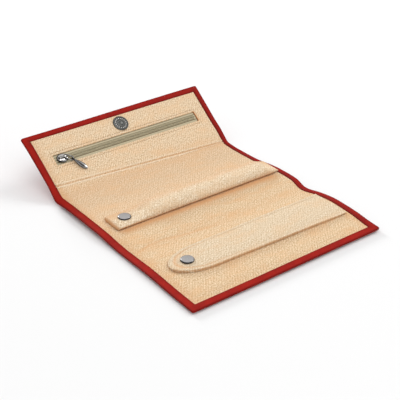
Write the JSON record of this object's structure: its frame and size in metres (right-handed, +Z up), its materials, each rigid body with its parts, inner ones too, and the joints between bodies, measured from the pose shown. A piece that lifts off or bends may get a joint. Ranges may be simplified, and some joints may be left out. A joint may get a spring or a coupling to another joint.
{
  "type": "jewelry wallet",
  "caption": "Tri-fold leather jewelry wallet with a suede lining, a padded snap-down ring bar, a snap-down tongue strap, and a magnetic flap that holds a zipped pocket.",
  "frame": {"origin": "middle of the back panel's underside", "axes": "+X to the right along the folds, +Y from the front panel towards the flap, +Z up, the lining's side"},
  "size_m": [0.2, 0.2639, 0.0442],
  "materials": {
    "red_leather": "smooth red leather, fine grain, edges turned over",
    "suede": "sand-coloured napped suede cloth, matte",
    "board": "grey stiffener board",
    "filling": "white fibre filling",
    "pocket_cotton": "plain cotton cloth",
    "zip_tape": "khaki herringbone zip tape",
    "zip_coil": "khaki nylon coil",
    "nickel": "bright nickel",
    "dark_steel": "dark gunmetal",
    "ferrite": "ferrite magnet"
  },
  "bodies": {
    "back_panel": {"back_cover": "red_leather", "back_board": "board", "back_lining": "suede", "ring_bar_stud": "nickel", "ring_bar_stud_post": "nickel", "ring_bar_anchor": "suede"},
    "top_spine": {"top_spine_cover": "red_leather", "top_spine_lining": "suede"},
    "flap": {"flap_cover": "red_leather", "pocket_back": "pocket_cotton", "pocket_panel": "suede", "zip_tape_upper": "zip_tape", "zip_tape_lower": "zip_tape", "zip_coil_upper": "zip_coil", "zip_coil_lower": "zip_coil", "flap_magnet_case": "dark_steel", "flap_magnet": "ferrite", "flap_magnet_washer": "dark_steel"},
    "slider": {"slider_body": "nickel", "slider_bridge": "nickel"},
    "pull_link": {"pull_link": "nickel"},
    "pull_tab": {"pull_tab": "nickel"},
    "front_spine": {"front_spine_cover": "red_leather", "front_spine_lining": "suede"},
    "front_panel": {"front_cover": "red_leather", "front_board": "board", "front_lining": "suede", "strap_stud": "nickel", "strap_stud_post": "nickel", "front_striker": "dark_steel", "front_striker_washer": "dark_steel", "strap_anchor": "suede"},
    "ring_bar": {"ring_bar_cover": "suede", "ring_bar_core": "filling", "ring_bar_snap_cap": "nickel", "ring_bar_snap_socket": "nickel"},
    "strap": {"strap_under_layer": "suede", "strap_upper_layer": "suede", "strap_snap_cap": "nickel", "strap_snap_socket": "nickel"}
  },
  "joints": [
    {"name": "top_fold", "type": "hinge", "parent": "back_panel", "child": "top_spine", "pos_m": [0, 0.049, 0.0034], "axis": [1, 0, 0], "range_deg": [-17.75, 73.75]},
    {"name": "flap_fold", "type": "hinge", "parent": "top_spine", "child": "flap", "pos_m": [0, 0.07091, 0.01041], "axis": [1, 0, 0], "range_deg": [-17.75, 73.75]},
    {"name": "front_fold", "type": "hinge", "parent": "back_panel", "child": "front_spine", "pos_m": [0, -0.049, 0.0034], "axis": [-1, 0, 0], "range_deg": [0, 90]},
    {"name": "front_panel_fold", "type": "hinge", "parent": "front_spine", "child": "front_panel", "pos_m": [0, -0.0625, 0.0034], "axis": [-1, 0, 0], "range_deg": [0, 90]},
    {"name": "ring_bar_lift", "type": "hinge", "parent": "back_panel", "child": "ring_bar", "pos_m": [0.0959, -0.0057, 0.0053], "axis": [0, -1, 0], "range_deg": [-115, 0]},
    {"name": "strap_lift", "type": "hinge", "parent": "front_panel", "child": "strap", "pos_m": [0.0925, -0.0919, 0.0053], "axis": [0, -1, 0], "range_deg": [-115, 0]},
    {"name": "zip_slide", "type": "slide", "parent": "flap", "child": "slider", "axis": [1, 0, 0], "range_m": [0, 0.143]},
    {"name": "pull_swing", "type": "hinge", "parent": "slider", "child": "pull_link", "pos_m": [-0.07075, 0.08946, 0.02745], "axis": [0, 0.5807, -0.8141], "range_deg": [-35, 35]},
    {"name": "pull_lift", "type": "hinge", "parent": "pull_link", "child": "pull_tab", "pos_m": [-0.06592, 0.08579, 0.02484], "axis": [0.682, 0.5954, 0.4247], "range_deg": [-115, 0]}
  ],
  "couplings": [
    {"joint": "flap_fold", "follows": "top_fold", "ratio": 1},
    {"joint": "front_panel_fold", "follows": "front_fold", "ratio": 1}
  ]
}
